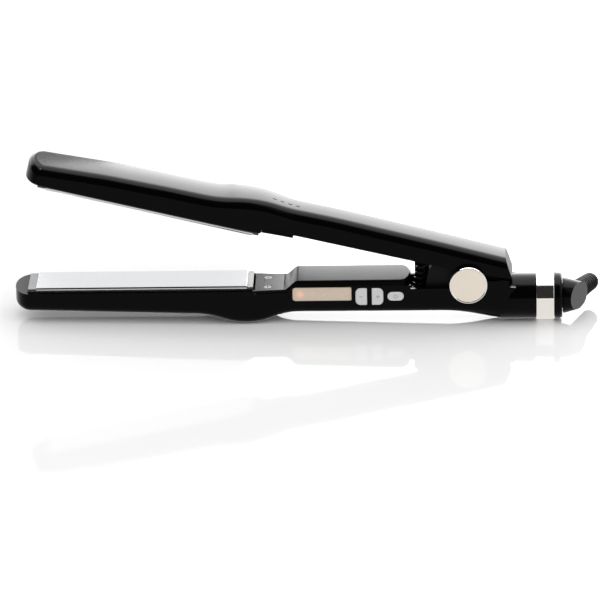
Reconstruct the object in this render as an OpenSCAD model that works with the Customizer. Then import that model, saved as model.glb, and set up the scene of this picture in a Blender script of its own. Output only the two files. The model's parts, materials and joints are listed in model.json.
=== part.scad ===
// Hair straightener with two hinged arms, floating heating plates and a swivelling cord outlet.
// Every sub-part is drawn in the arm frame: the hinge axis is the Y axis, the closed plates meet
// in the plane z = 0, the tips point to -X. The upper arm is drawn closed and then swung open.
// put_lower() and put_upper() carry the pieces to the table, where z = 0.

/* [Arms] */
// Distance from the tip of each arm to the hinge axis
arm_len = 237; // [234:0.5:240]
// Half-width of the arms along the heating plates
plate_half_w = 15.6; // [15.4:0.1:16.4]
// Half-width of the arms along the grip
grip_half_w = 12.4; // [12.3:0.1:13]
// Wall thickness of the casings
wall = 1.8; // [1.6:0.1:2]
// Radius that the long outer edges are bevelled to
edge_r = 4; // [2:0.5:4.5]
// Angle at which the arms stand open at rest
open_angle = 13.8; // [12:0.1:14.5]
// Angle between the lower arm and the table
lie_angle = 1.1; // [0.9:0.1:1.3]

/* [Plates] */
// Length of a heating plate
plate_len = 110; // [105:1:112]
// Width of a heating plate
plate_w = 25.4; // [24:0.2:25.6]
// Thickness of a heating plate
plate_t = 1.4; // [1.2:0.1:1.6]
// Travel of a floating plate
float_travel = 1; // [0.6:0.1:1.2]

/* [Hinge] */
// Radius of the round hinge caps
cap_r = 9.9; // [9.4:0.1:10.5]
// Height by which the hinge caps stand off the casings
cap_h = 3.8; // [2.5:0.1:4.5]
// Radius of the hinge pin
pin_r = 2.5; // [2.3:0.1:2.7]
// Number of turns of the spring between the arms
spring_turns = 7; // [5:1:8]

/* [Controls] */
// Length of the display window
display_len = 31.2; // [28:0.2:32]
// Height of the display window
display_h = 7.8; // [7:0.1:7.8]
// Height of the two step buttons
step_h = 9.2; // [8:0.1:9.4]
// Inward travel of a button
press_travel = 0.6; // [0.3:0.1:0.8]

/* [Tail] */
// Radius of the metal band at the tail
band_r = 12.4; // [12.3:0.05:12.5]
// Length of the ribbed cord boot
boot_len = 24; // [20:1:26]
// Radius of the cord hole
cord_hole_r = 3.3; // [3:0.1:3.5]

/* [Hidden] */
$fn = 64;

far = 60;                       // reach of a cutter that runs past everything
eps = 0.02;                     // overshoot of a cut past a face
rest_x = 115;                   // from the rest face to the hinge axis, along the table
hinge_z = 23.1;                 // height of the hinge axis above the table

tip_len = 8;                    // length of the round end of an arm, from above
tip_corner = 3;                 // radius of the tip's outer corner, from the side
plate_x0 = 11.5 - arm_len;      // near end of the plates
plate_gap = 0.15;               // from a plate's face to the plane where the arms meet
rim_z = 2.4;                    // lower casing's rim, below the meeting plane
upper_rim_z = 2.8;              // upper casing's rim along the plates, above that plane
upper_shoulder_z = 3.4;         // its rim along the shoulder cover
grip_rim_z = 5.1;               // upper casing's rim along the grip
shoulder_x = -111.4;            // where the shoulder covers begin
grip_x = -94.5;                 // where the grip begins
cover_x0 = -96.4;               // front edge of the raised grip cover
skirt_x = -92.9;                // end of the cover's skirt, short of the display
grip_end_x = -30.2;             // where the raised grip cover ends
seam_z = 0.8;                   // seam of the grip cover, below the meeting plane
pad_z = 2.5;                    // top of the grip cover
ease_steps = 3;                 // spacing of the stations where the outline curves

// Depth of the lower casing below the meeting plane: [x, depth, eased up to the next point]
function rest_depth(x) = (hinge_z + x * sin(lie_angle)) / cos(lie_angle);
lower_depth = [[-arm_len, 12.5, 0], [-139, 15.8, 1], [-119, rest_depth(-119), 0],
               [-111, rest_depth(-111), 1], [-93, 15.9, 0], [-9, 16.2, 1], [22, 22.6, 0], [27, 22.6, 0]];
// Height of the upper casing above it
upper_height = [[-arm_len, 13.1, 0], [-196, 15.3, 0], [-165, 16.2, 0], [-142, 16.5, 1],
                [-118, 19.7, 0], [-112, 19.7, 1], [-97, 17.9, 0], [-76, 18.3, 0],
                [-20, 17.6, 0], [27, 16.6, 0]];
// Half-width of both casings
half_width = [[-arm_len, plate_half_w, 0], [-128, plate_half_w, 1],
              [-91, grip_half_w, 0], [27, grip_half_w, 0]];

function clamp01(t) = min(1, max(0, t));
function ease(t) = t * t * (3 - 2 * t);
function key_index(keys, x, i = 0) =
    i >= len(keys) - 2 || x < keys[i + 1][0] ? i : key_index(keys, x, i + 1);
function key_value(keys, x) =
    let (i = key_index(keys, x), a = keys[i], b = keys[i + 1],
         t = clamp01((x - a[0]) / (b[0] - a[0])))
    a[1] + (b[1] - a[1]) * (a[2] == 1 ? ease(t) : t);

// How much a round corner of radius r takes off at x, near the tip
function corner_loss(x, r) =
    let (t = clamp01((r - (x + arm_len)) / r)) 1 - sqrt(1 - t * t);
function width_at(x) = key_value(half_width, x) * (1 - corner_loss(x, tip_len));
function depth_at(keys, x) = key_value(keys, x) - tip_corner * corner_loss(x, tip_corner);

tip_stations = [for (a = [0:15:75]) -arm_len + tip_len * (1 - cos(a))];
tip_end_x = -arm_len + tip_len;
waist_x = [-142, -91];          // the outline curves between these
bevel_shift = 0.7;
function steps_before(keys, i) = keys[i - 1][2] != 1 ? []
    : [for (x = [keys[i - 1][0] + ease_steps:ease_steps:keys[i][0] - 1]) x];
// Stations of a side view behind the tip: its keys, and steps where it curves
function body_stations(keys) = concat([tip_end_x],
    [for (k = keys) if (k[0] > tip_end_x && k[0] < waist_x[0]) k[0]],
    [for (x = [waist_x[0]:ease_steps:waist_x[1]]) x],
    [for (i = [1:len(keys) - 1]) if (keys[i][0] > waist_x[1] + 1)
        each concat([for (x = steps_before(keys, i)) if (x > waist_x[1]) x], [keys[i][0]])]);
plan_stations = concat([tip_end_x], [for (x = [-127:ease_steps:waist_x[1]]) x], [27]);
function reversed(list) = [for (i = [len(list) - 1:-1:0]) list[i]];

// Extrude a side view (x, z) along Y, or a plan (x, y) along Z
module side_prism(points, half_w = far)
    rotate([90, 0, 0]) linear_extrude(2 * half_w, center = true) polygon(points);
module plan_prism(points, z0, z1)
    translate([0, 0, z0]) linear_extrude(z1 - z0) polygon(points);
module slab(x0, x1, half_w, z0, z1)
    translate([x0, -half_w, z0]) cube([x1 - x0, 2 * half_w, z1 - z0]);
module y_rod(r, y0, y1, x = 0, z = 0)
    translate([x, y1, z]) rotate([90, 0, 0]) cylinder(r = r, h = y1 - y0);
module x_rod(r, x0, x1, z)
    translate([x0, 0, z]) rotate([0, 90, 0]) cylinder(r = r, h = x1 - x0);
module on_both_sides() {
    children();
    mirror([0, 1, 0]) children();
}

// A round outline drawn with its corners: size, corner radius and centre, in a front view
module front_shape(x, z, w, h, r, y0, y1)
    translate([x, y1, z]) rotate([90, 0, 0]) linear_extrude(y1 - y0)
        union() {
            square([w - 2 * r, h], center = true);
            square([w, h - 2 * r], center = true);
            for (i = [-1, 1], j = [-1, 1])
                translate([i * (w / 2 - r), j * (h / 2 - r)]) circle(r, $fn = 24);
        }

// A coil of round wire from point a to point b
module coil(a, b, coil_r, wire_r, turns, steps = 14, sides = 6) {
    along = b - a;
    axis = along / norm(along);
    side = cross([0, 1, 0], axis) / norm(cross([0, 1, 0], axis));
    up = cross(axis, side);
    rings = turns * steps;
    function radial(k) = cos(360 * k / steps) * side + sin(360 * k / steps) * up;
    points = [for (k = [0:rings], i = [0:sides - 1])
        a + along * k / rings + radial(k) * (coil_r + wire_r * cos(360 * i / sides))
          + axis * wire_r * sin(360 * i / sides)];
    skin = [for (k = [0:rings - 1], i = [0:sides - 1])
        let (j = (i + 1) % sides)
        [k * sides + i, k * sides + j, (k + 1) * sides + j, (k + 1) * sides + i]];
    polyhedron(points, concat(skin, [[for (i = [sides - 1:-1:0]) i]],
                              [[for (i = [0:sides - 1]) rings * sides + i]]), convexity = 8);
}

module put_lower()
    translate([rest_x, 0, hinge_z]) rotate([0, -lie_angle, 0]) children();
module put_upper()
    put_lower() rotate([0, open_angle, 0]) children();

// ---- Casings: both are drawn hanging below z = 0, and the upper one is mirrored ----

module casing_solid(depths) {
    stations = concat(tip_stations, body_stations(depths));
    side = [for (x = stations) [x, -depth_at(depths, x)]];
    plan = [for (x = concat(tip_stations, plan_stations)) [x, width_at(x)]];
    // the bevel's stations lie beside those of the side view, so that four faces never meet
    bevel = [for (s = stations) let (x = s > tip_end_x && s < 27 ? s + bevel_shift : s)
        [x, -(width_at(x) + depth_at(depths, x) - 2 * edge_r) / sqrt(2) - edge_r]];
    roof = [[27, far], [-arm_len, far]];
    intersection() {
        side_prism(concat(side, roof));
        plan_prism(concat(reversed(plan), [for (p = plan) if (p[1] > 0) [p[0], -p[1]]]),
                   -far, far);
        rotate([45, 0, 0]) side_prism(concat(bevel, roof));
        rotate([-45, 0, 0]) side_prism(concat(bevel, roof));
    }
}

module casing_cavity(depths, rear_x) {
    inside = concat([cavity_x0], [for (x = body_stations(depths))
                                  if (x > tip_end_x && x < rear_x - 1) x], [rear_x]);
    around = concat([cavity_x0, tip_end_x],
                    [for (x = plan_stations) if (x > tip_end_x && x < rear_x) x], [rear_x]);
    intersection() {
        side_prism(concat([for (x = inside) [x, wall - depth_at(depths, x)]],
                          [[rear_x, far], [cavity_x0, far]]));
        plan_prism(concat([for (x = reversed(around)) [x, width_at(x) - wall]],
                          [for (x = around) [x, wall - width_at(x)]]), -far, far);
    }
}

tail_z = -11.38;                // axis of the tail below the meeting plane
sleeve_r = 12;
neck_r = 7.4;                   // neck of the tail sleeve inside the casing
tail_x0 = 16;                   // front of the tail sleeve, above the casing's rim
tail_seam = [[21.1, 3], [21.3, -2.4], [24.7, -2.7], [24.6, -3.2], [22.2, -6], [20, -10], [18, -15], [16.9, -20], [16.4, -26]];

cavity_x0 = plate_x0 - 4.8;     // ends of the hollow in both casings
cavity_end_x = 19;
rear_wall_x = 8;                // the lower casing's walls are higher behind this
rear_rim_z = 1;
cheek_r = 8.5;                  // round ears of the lower casing at the hinge
screw_x = 132.2 - 237;          // shoulder screws
screw_y = 7.25;
screw_head_r = 2;
spring_xs = [-207, -170, -133]; // springs under the plates
carrier_z = 8;                  // underside of the plate carriers, from the meeting plane
seat_z = carrier_z + float_travel + 2;  // spring seats, from the meeting plane

display_x = -76.4;
display_z = -5.3;
minus_x = -55.9;
plus_x = -47.4;
step_w = 6;
step_z = -6.7;
power_x = -38;
power_z = -6.65;
power_w = 8.5;
power_h = 4.7;

// A step button's outline: straight towards its twin, round outside
module step_shape(x, dir, grow, y0, y1)
    translate([x, y1, step_z]) rotate([90, 0, 0]) linear_extrude(y1 - y0)
        union() {
            w = step_w + 2 * grow;
            h = step_h + 2 * grow;
            r = 2.6;
            translate([dir * r / -2, 0]) square([w - r, h], center = true);
            square([w, h - 2 * r], center = true);
            for (j = [-1, 1]) translate([dir * (w / 2 - r), j * (h / 2 - r)]) circle(r, $fn = 24);
        }

module lower_casing() color([0.06, 0.06, 0.07]) {
    difference() {
        union() {
            difference() {
                casing_solid(lower_depth);
                casing_cavity(lower_depth, cavity_end_x);
                // the rim: low along the plates, higher under the grip cover, low at the hinge
                slab(-arm_len - 1, skirt_x, far, -rim_z, far);
                slab(skirt_x - eps, grip_end_x, far, -seam_z, far);
                slab(grip_end_x - eps, rear_wall_x, far, -rim_z - 0.3, far);
                // beside the tail the walls stand higher
                slab(rear_wall_x - eps, far, 8.6, -rim_z - 0.3, far);
                slab(rear_wall_x - eps, far, far, rear_rim_z, far);
                // behind the tail seam
                side_prism(concat(tail_seam, [[16.4, -far], [far, -far], [far, 3]]));
                // bed of the shoulder cover
                slab(shoulder_x - 0.1, grip_x + 0.1, far, -rim_z - 1.7, far);
            }
            // hinge ears
            on_both_sides() difference() {
                union() {
                    y_rod(cheek_r, grip_half_w - wall, grip_half_w);
                    slab(-6, 6, far, -8, -rim_z);
                }
                slab(-far, far, grip_half_w - wall, -far, far);
                translate([-far, grip_half_w, -far]) cube(2 * far);
                translate([-far, -3 * far, -far]) cube([2 * far, 3 * far, 2 * far]);
            }
            // seats under the plate springs
            for (x = spring_xs) {
                floor_z = -depth_at(lower_depth, x) + wall - 0.4;
                translate([x, 0, floor_z]) cylinder(r = 4, h = -seat_z - floor_z);
            }
            // screw posts of the shoulder cover
            for (y = [-screw_y, screw_y]) {
                floor_z = -depth_at(lower_depth, screw_x) + wall - 0.4;
                translate([screw_x, y, floor_z])
                    cylinder(r = 3, h = -rim_z - 1.7 - floor_z);
            }
        }
        y_rod(pin_r, -far, far);
        // mouth for the tail sleeve's neck
        x_rod(neck_r + 0.1, 10, 40, tail_z);
        for (y = [-screw_y, screw_y]) translate([screw_x, y, -13]) cylinder(r = 1.3, h = far);
        for (p = tower_spots) {
            translate([p[0], p[1], -far]) cylinder(r = 1.3, h = far);
            translate([p[0], p[1], -far]) cylinder(r = 2.3, h = far - 15);
        }
        // windows in the front wall
        front_shape(display_x, display_z, display_len, display_h, 1.8,
                    -far, 1.5 - grip_half_w);
        front_shape(display_x, display_z, display_len - 2, display_h - 1.6, 1,
                    -far, 3 - grip_half_w);
        step_shape(minus_x, -1, 0.15, -far, 3 - grip_half_w);
        step_shape(plus_x, 1, 0.15, -far, 3 - grip_half_w);
        front_shape(power_x, power_z, power_w + 0.3, power_h + 0.3, power_h / 2 + 0.14,
                    -far, 3 - grip_half_w);
    }
}

// Raised cover over the grip, with a ramp at the plate end and a round tail end
module grip_cover() color([0.08, 0.08, 0.09]) {
    ramp = 7.6;
    ramp_points = [for (t = [0:0.125:1])
        [cover_x0 + ramp * t, -rim_z + (pad_z + rim_z) * ease(t)]];
    half = grip_half_w;
    end_len = 4.5;
    end_x = grip_end_x - end_len;
    difference() {
        intersection() {
            side_prism(concat(ramp_points, [[grip_end_x, pad_z], [grip_end_x, -seam_z],
                                            [skirt_x + 0.1, -seam_z], [skirt_x + 0.1, -rim_z]]));
            plan_prism(concat([[cover_x0 - 1, -half]],
                              [for (a = [-90:9:90]) [end_x + end_len * cos(a), half * sin(a)]],
                              [[cover_x0 - 1, half]]), -far, far);
        }
        slab(cover_x0 + ramp, end_x, half - wall, -far, pad_z - wall);
    }
    // locating ribs that drop inside the casing's walls
    for (x = [-84, -36.5]) on_both_sides()
        translate([x, half - wall - 1.9, -seam_z - 1]) cube([4, 1.7, 1 + seam_z + pad_z - wall]);
}

module shoulder_cover(z_out, thick) {
    xs = [for (x = [shoulder_x, for (x = [-109:ease_steps:-97]) x, grip_x]) x];
    difference() {
        plan_prism(concat([for (x = reversed(xs)) [x, width_at(x) - 0.2]],
                          [for (x = xs) [x, 0.2 - width_at(x)]]),
                   z_out - thick, z_out);
        for (y = [-screw_y, screw_y]) {
            translate([screw_x, y, z_out - far]) cylinder(r = 1.5, h = 2 * far);
            translate([screw_x, y, z_out - 1]) cylinder(r = screw_head_r + 0.1, h = far);
        }
    }
}

// Pan-head screws with a cross recess, pointing down
module screws(spots, z_top, head_r, head_h, len, shank_r)
    for (p = spots) translate([p[0], p[1], z_top]) difference() {
        union() {
            translate([0, 0, -head_h]) cylinder(r = head_r, h = head_h);
            translate([0, 0, -head_h - len]) cylinder(r = shank_r, h = len + eps);
        }
        for (a = [0, 90]) rotate([0, 0, a])
            translate([-head_r * 0.6, -0.22, -0.5]) cube([head_r * 1.2, 0.44, 1]);
    }
shoulder_spots = [[screw_x, -screw_y], [screw_x, screw_y]];

module lower_shoulder_cover() color([0.1, 0.1, 0.11]) shoulder_cover(-rim_z, 1.6);
module lower_shoulder_screws() color([0.2, 0.2, 0.2])
    screws(shoulder_spots, -rim_z - 0.1, screw_head_r, 0.9, 6, 1.28);

// ---- Plate units: drawn for the lower arm, mirrored for the upper one ----

module heating_plate()
    difference() {
        slab(plate_x0, plate_x0 + plate_len, plate_w / 2, -plate_gap - plate_t, -plate_gap);
        // eased long edges
        on_both_sides() translate([plate_x0 - 1, plate_w / 2, -plate_gap - 0.7])
            rotate([33, 0, 0]) cube([plate_len + 2, 1, 2]);
    }

carrier_half = 13.2;
carrier_end = [plate_x0 + plate_len + 3.2, plate_w / 2 - 0.3];  // narrower, where the arm narrows
carrier_plan = [[plate_x0 - 4.4, -carrier_half], [-119.5, -carrier_half],
                [carrier_end[0], -carrier_end[1]], carrier_end,
                [-119.5, carrier_half], [plate_x0 - 4.4, carrier_half]];
module plate_carrier()
    difference() {
        union() {
            plan_prism(carrier_plan, -carrier_z, -plate_gap - plate_t);
            slab(plate_x0 - 4.4, plate_x0 - 0.1, plate_w / 2 - 0.3, -carrier_z, -0.7);
            slab(plate_x0 + plate_len + 0.1, plate_x0 + plate_len + 3.2, plate_w / 2 - 0.3,
                 -carrier_z, -0.7);
        }
        // well for the heater and the sensor
        slab(plate_x0 + 4, plate_x0 + plate_len - 4, carrier_half - 3,
             -carrier_z + 1.4, far);
    }
module heater()
    slab(plate_x0 + 12, plate_x0 + plate_len - 12, 7, -plate_gap - plate_t - 2.4,
         -plate_gap - plate_t);
module float_springs()
    for (x = spring_xs)
        coil([x, 0, -seat_z + 0.4], [x, 0, -carrier_z - 0.4], 2.6, 0.35, 3, 12);

module lower_plate() color([0.8, 0.82, 0.84]) heating_plate();
module lower_plate_carrier() color([0.13, 0.13, 0.13]) plate_carrier();
module lower_heater() color([0.9, 0.88, 0.82]) heater();
module lower_heat_sensor() color([0.75, 0.5, 0.25])
    slab(-165, -159, 1.5, -plate_gap - plate_t - 4.2, -plate_gap - plate_t - 2.4);
module lower_float_springs() color("silver") float_springs();

// ---- Controls on the front of the lower arm ----

module display_lens() color([0.74, 0.67, 0.6])
    front_shape(display_x, display_z, display_len - 0.2, display_h - 0.2, 1.7,
                0.6 - grip_half_w, 1.5 - grip_half_w);
module display_module() color([0.3, 0.32, 0.3])
    front_shape(display_x, display_z, display_len - 3, display_h - 2.4, 0.6,
                1.6 - grip_half_w, 4.2 - grip_half_w);

board_y = 5 - grip_half_w;      // face of the control board
switch_h = 0.8;
button_back = board_y - switch_h - 0.3 - press_travel;  // inner face of the buttons
flange_y = wall + 0.1 - grip_half_w;    // outer face of the flange that keeps a button in
flange = 0.55;
module step_button(x, dir) {
    step_shape(x, dir, 0, -grip_half_w - 0.3, button_back);
    step_shape(x, dir, flange, flange_y, flange_y + 0.8);
}
module minus_button() color([0.78, 0.78, 0.78]) step_button(minus_x, -1);
module plus_button() color([0.78, 0.78, 0.78]) step_button(plus_x, 1);
module power_button() color([0.78, 0.78, 0.78]) {
    front_shape(power_x, power_z, power_w, power_h, power_h / 2 - 0.01,
                -grip_half_w - 0.3, button_back);
    front_shape(power_x, power_z, power_w + 2 * flange, power_h + 2 * flange,
                power_h / 2, flange_y, flange_y + 0.8);
}
module control_board() color([0.1, 0.35, 0.2])
    translate([-92, board_y, -12.6]) cube([58, 1.4, 11]);
module tact_switches() color([0.15, 0.15, 0.15])
    for (x = [minus_x, plus_x, power_x]) {
        translate([x - 2, board_y - switch_h, step_z - 2]) cube([4, switch_h, 4]);
    }
module power_board() color([0.1, 0.35, 0.2])
    translate([-88, -4.5, -11.6]) cube([50, 13.5, 1.4]);

// ---- Hinge ----

tower_half = 7.8;
tower_x0 = -20.4;               // tower's face beside the spring, at its top
tower_x1 = 13;
tower_seat_z = -8;              // where the arm spring stands
guard_x = -28;                  // guard behind the spring
guard_y = 4.2;
tower_spots = [[-30.5, 5.6], [-30.5, -5.6], [-7, 5.6], [-7, -5.6]];
tower_head_z = 15.9;            // outer face of the tower's screw heads, below the meeting plane
spring_foot = [-26.9, 0, tower_seat_z];
arm_coil_r = 2.6;
spring_head_s = 25;             // from the hinge axis to the spring's head, along the upper arm

module hinge_tower() color([0.05, 0.05, 0.05]) {
    profile = [[-33.5, -14], [-33.5, tower_seat_z], [-23.3, tower_seat_z], [tower_x0, 6.6],
               [tower_x0 + 2.4, 9], [2, 9], [6, 8], [15.8, 6.6], [15.8, -3.6],
               [tower_x1, -3.6], [tower_x1, -14]];
    difference() {
        union() {
            side_prism(profile, tower_half);
            // guard behind the spring
            translate([guard_x, guard_y, -14]) cube([9.5, tower_half - guard_y, 22]);
            // post inside the spring's foot
            translate(spring_foot - [0, 0, 1]) cylinder(r = arm_coil_r - 1.2, h = 2.5);
        }
        y_rod(pin_r, -far, far);
        // passage for the leads from the tail to the upper arm
        side_prism([[-14, 10], [-14, -11], [20, -11], [20, -15], [-20, -15], [-20, 10]], 4);
        for (p = tower_spots) translate([p[0], p[1], -20]) cylinder(r = 1.2, h = 12);
    }
}
module tower_screws() color("silver")
    mirror([0, 0, 1]) screws(tower_spots, tower_head_z, 2.1, 0.9, 6, 1.2);

module hinge_pin() color("silver") y_rod(pin_r, -grip_half_w - 2, grip_half_w + 2);
module hinge_cap(dir)
    mirror([0, dir > 0 ? 1 : 0, 0]) rotate([90, 0, 0])
        difference() {
            rotate_extrude($fn = 96) polygon(concat(
                [[0, grip_half_w], [5, grip_half_w], [5, grip_half_w + 0.35],
                 [cap_r, grip_half_w + 0.35], [cap_r, grip_half_w + cap_h - 1]],
                [for (a = [15:15:90]) [cap_r - 1 + cos(a), grip_half_w + cap_h - 1 + sin(a)]],
                [[0, grip_half_w + cap_h]]));
            cylinder(r = pin_r, h = grip_half_w + 2);
        }
module front_hinge_cap() color([0.86, 0.82, 0.76]) hinge_cap(-1);
module rear_hinge_cap() color([0.86, 0.82, 0.76]) hinge_cap(1);

// Spring between the arms, from the tower's foot to the upper liner
function swung(x, z) = [x * cos(open_angle) + z * sin(open_angle), 0,
                        z * cos(open_angle) - x * sin(open_angle)];
module arm_spring() color([0.08, 0.08, 0.08])
    coil(spring_foot + [0.2, 0, 1.15], swung(-spring_head_s, grip_rim_z + 0.2) - [0.2, 0, 0.7],
         arm_coil_r, 0.5, spring_turns, 16, 8);

// ---- Tail ----

module tail_sleeve() color([0.06, 0.06, 0.07]) {
    tongue_z = -2.6;            // underside of the tongue that covers the casing's rim
    seam = concat([[24.81, tongue_z]],
                  [for (p = tail_seam) if (p[1] < tongue_z) [p[0] + 0.1, p[1]]]);
    difference() {
        union() {
            difference() {
                x_rod(sleeve_r, tail_x0, 35.3, tail_z);
                side_prism(concat([[-far, tongue_z]], seam, [[16.5, -far], [-far, -far]]));
            }
            x_rod(10.5, 26, 44.8, tail_z);
            x_rod(neck_r, 14.2, 27, tail_z);
        }
        x_rod(5.6, 0, 27, tail_z);
        x_rod(9, 28.5, far, tail_z);
        x_rod(5.6, 20, 30, tail_z);
    }
}
module tail_band() color([0.85, 0.83, 0.8])
    difference() {
        x_rod(band_r, 35.4, 44.7, tail_z);
        x_rod(10.5, 30, 50, tail_z);
    }
collar_hole_r = 6.95;
module swivel_collar() color([0.07, 0.07, 0.08])
    translate([0, 0, tail_z]) rotate([0, 90, 0]) rotate_extrude($fn = 96)
        polygon([[collar_hole_r, 44.9], [12.2, 44.9], [12.2, 47.6], [11.9, 48.4], [11.2, 48.9],
                 [collar_hole_r, 48.9]]);

boot_out = [0.363, 0.927, -0.09];               // way the boot leaves the swivel
boot_dir = boot_out / norm(boot_out);
boot_start = [54.6, 3.5, tail_z - 0.3];
boot_yaw = atan2(boot_dir[1], boot_dir[0]);
boot_pitch = acos(boot_dir[2]);
module along_boot(offset = 0)
    translate(boot_start + boot_dir * offset) rotate([0, boot_pitch, boot_yaw]) children();

module swivel_cone() color([0.07, 0.07, 0.08])
    difference() {
        union() {
            translate([0, 0, tail_z]) rotate([0, 90, 0]) rotate_extrude($fn = 96)
                polygon([[0, 49.2], [8.9, 49.2], [9.3, 49.6], [9.2, 50.5], [7.1, 58.6],
                         [6.9, 63], [0, 63]]);
            x_rod(6.9, 42.4, 49.3, tail_z);
            along_boot(0) cylinder(r = 5.5, h = 3.4);
        }
        // slanted end, turned to the front
        translate([58.4, 0, 0]) rotate([0, 0, -30]) translate([0, -far, -far]) cube(2 * far);
        x_rod(3.6, 30, 54, tail_z);
        along_boot(-1) cylinder(r = 3.6, h = 10);
        along_boot(3.4) cylinder(r = 5.7, h = 15);
        // groove for the retainer
        translate([0, 0, tail_z]) rotate([0, 90, 0]) rotate_extrude($fn = 96)
            polygon([[5.9, 42.9], [8, 42.9], [8, 44.1], [5.9, 44.1]]);
    }
module swivel_retainer() color("silver")
    difference() {
        x_rod(8.2, 43, 44, tail_z);
        x_rod(5.95, 40, 50, tail_z);
        slab(40, 50, 1.5, tail_z, tail_z + 20);
    }

function boot_r(z) = 5.5 - 0.9 * z / boot_len;
module cord_boot() color([0.05, 0.05, 0.05]) {
    ribs = 7;
    pitch = (boot_len - 4) / ribs;
    rib_starts = [for (i = [0:ribs - 1]) 3 + i * pitch];
    rib_points = [for (z = rib_starts) each [
        [boot_r(z), z], [boot_r(z), z + pitch * 0.55],
        [boot_r(z) - 0.9, z + pitch * 0.6], [boot_r(z) - 0.9, z + pitch * 0.95]]];
    along_boot(3.4) rotate_extrude($fn = 72) polygon(concat(
        [[cord_hole_r, 0], [5.6, 0], [5.6, 2.6]], rib_points,
        [[4.7, boot_len - 1], [4.4, boot_len], [cord_hole_r, boot_len]]));
}

// ---- Upper arm, drawn closed ----

vent_xs = [-107.9, -103.7, -99.5, -95.3];
module upper_casing() color([0.06, 0.06, 0.07])
    difference() {
        union() {
            difference() {
                mirror([0, 0, 1]) casing_solid(upper_height);
                mirror([0, 0, 1]) casing_cavity(upper_height, cavity_end_x);
                slab(-arm_len - 1, shoulder_x, far, -far, upper_rim_z);
                slab(shoulder_x - eps, grip_x, far, -far, upper_shoulder_z);
                side_prism([[grip_x - eps, -far], [grip_x - eps, grip_rim_z], [-10, grip_rim_z + 0.4],
                            [21.9, 7.3], [far, 7.3], [far, -far]]);
                // slanted rear end
                side_prism([[21.9, -far], [21.9, 7.3], [15.6, 17.4], [15.6, far], [far, far],
                            [far, -far]]);
                slab(shoulder_x - 0.1, grip_x + 0.1, far, -far, upper_shoulder_z + 1.7);
            }
            // rear wall
            intersection() {
                mirror([0, 0, 1]) casing_solid(upper_height);
                side_prism([[20.2, 7.3], [21.9, 7.3], [15.6, 17.4], [15.6, 18], [13.8, 18],
                            [13.8, 17.4]]);
            }
            for (x = spring_xs) {
                roof_z = depth_at(upper_height, x) - wall + 0.4;
                translate([x, 0, seat_z]) cylinder(r = 4, h = roof_z - seat_z);
            }
            for (p = bracket_spots) translate([p[0], p[1], 14.65]) cylinder(r = 3, h = 1.4);
            for (y = [-screw_y, screw_y]) {
                roof_z = depth_at(upper_height, screw_x) - wall + 0.4;
                translate([screw_x, y, upper_shoulder_z + 1.7])
                    cylinder(r = 3, h = roof_z - upper_shoulder_z - 1.7);
            }
        }
        for (p = bracket_spots) translate([p[0], p[1], 0]) cylinder(r = 1.25, h = 15.9);
        // room for the lower arm's ears
        y_rod(cheek_r + 0.35, -far, far);
        for (y = [-screw_y, screw_y]) translate([screw_x, y, -far]) cylinder(r = 1.3, h = far + 12);
        for (x = vent_xs) translate([x, -3.4, 10]) {
            translate([-1, 0, 0]) cube([2, 1.1, 20]);
        }
    }

module upper_liner() color([0.07, 0.07, 0.07]) {
    half = grip_half_w - wall - 0.15;
    z0 = grip_rim_z + 0.2;
    difference() {
        union() {
            slab(grip_x + 1, -19, half, z0, z0 + 1.8);
            for (x = [-88, -40]) on_both_sides()
                translate([x, half - 3, z0 + 1.7]) cube([3, 2, 6]);
        }
        slab(tower_x0 - 1.1, -10, tower_half + 0.5, -far, far);
        translate([guard_x - 1.3, guard_y - 0.5, -far]) cube([10.5, tower_half - guard_y + 1, 2 * far]);
    }
}
module upper_shoulder_cover() color([0.1, 0.1, 0.11])
    mirror([0, 0, 1]) shoulder_cover(-upper_shoulder_z, 1.6);
module upper_shoulder_screws() color([0.2, 0.2, 0.2])
    mirror([0, 0, 1]) screws(shoulder_spots, -upper_shoulder_z - 0.1, screw_head_r, 0.9, 6, 1.28);
module upper_plate() color([0.8, 0.82, 0.84]) mirror([0, 0, 1]) heating_plate();
module upper_plate_carrier() color([0.13, 0.13, 0.13]) mirror([0, 0, 1]) plate_carrier();
module upper_heater() color([0.9, 0.88, 0.82]) mirror([0, 0, 1]) heater();
module thermal_fuse() color([0.8, 0.8, 0.75])
    translate([-168, 0, plate_gap + plate_t + 3.5]) rotate([0, 90, 0])
        cylinder(r = 1.1, h = 9);
module upper_float_springs() color("silver") mirror([0, 0, 1]) float_springs();

lug_y0 = 8.2;
lug_y1 = 10.1;
bush_r = 3.5;
bracket_spots = [[-11, 0], [8, 0]];
module hinge_bracket() color([0.6, 0.6, 0.6])
    difference() {
        union() {
            slab(-15, 12, lug_y1, 13.2, 14.6);
            on_both_sides() {
                y_rod(6.4, lug_y0, lug_y1);
                translate([-6.4, lug_y0, 0]) cube([12.8, lug_y1 - lug_y0, 14]);
            }
        }
        y_rod(bush_r, -far, far);
        for (p = bracket_spots) translate([p[0], p[1], 0]) cylinder(r = 1.25, h = far);
    }
module bracket_screws() color("silver")
    for (p = bracket_spots) translate([p[0], p[1], 11.9]) {
        cylinder(r = 2.4, h = 1.3);
        cylinder(r = 1.2, h = 3.8);
    }
module hinge_bushes() color([0.75, 0.6, 0.3])
    on_both_sides() difference() {
        union() {
            y_rod(bush_r, lug_y0, lug_y1);
            y_rod(4.6, lug_y1, lug_y1 + 0.3);
        }
        y_rod(pin_r + 0.05, -far, far);
    }

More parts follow.
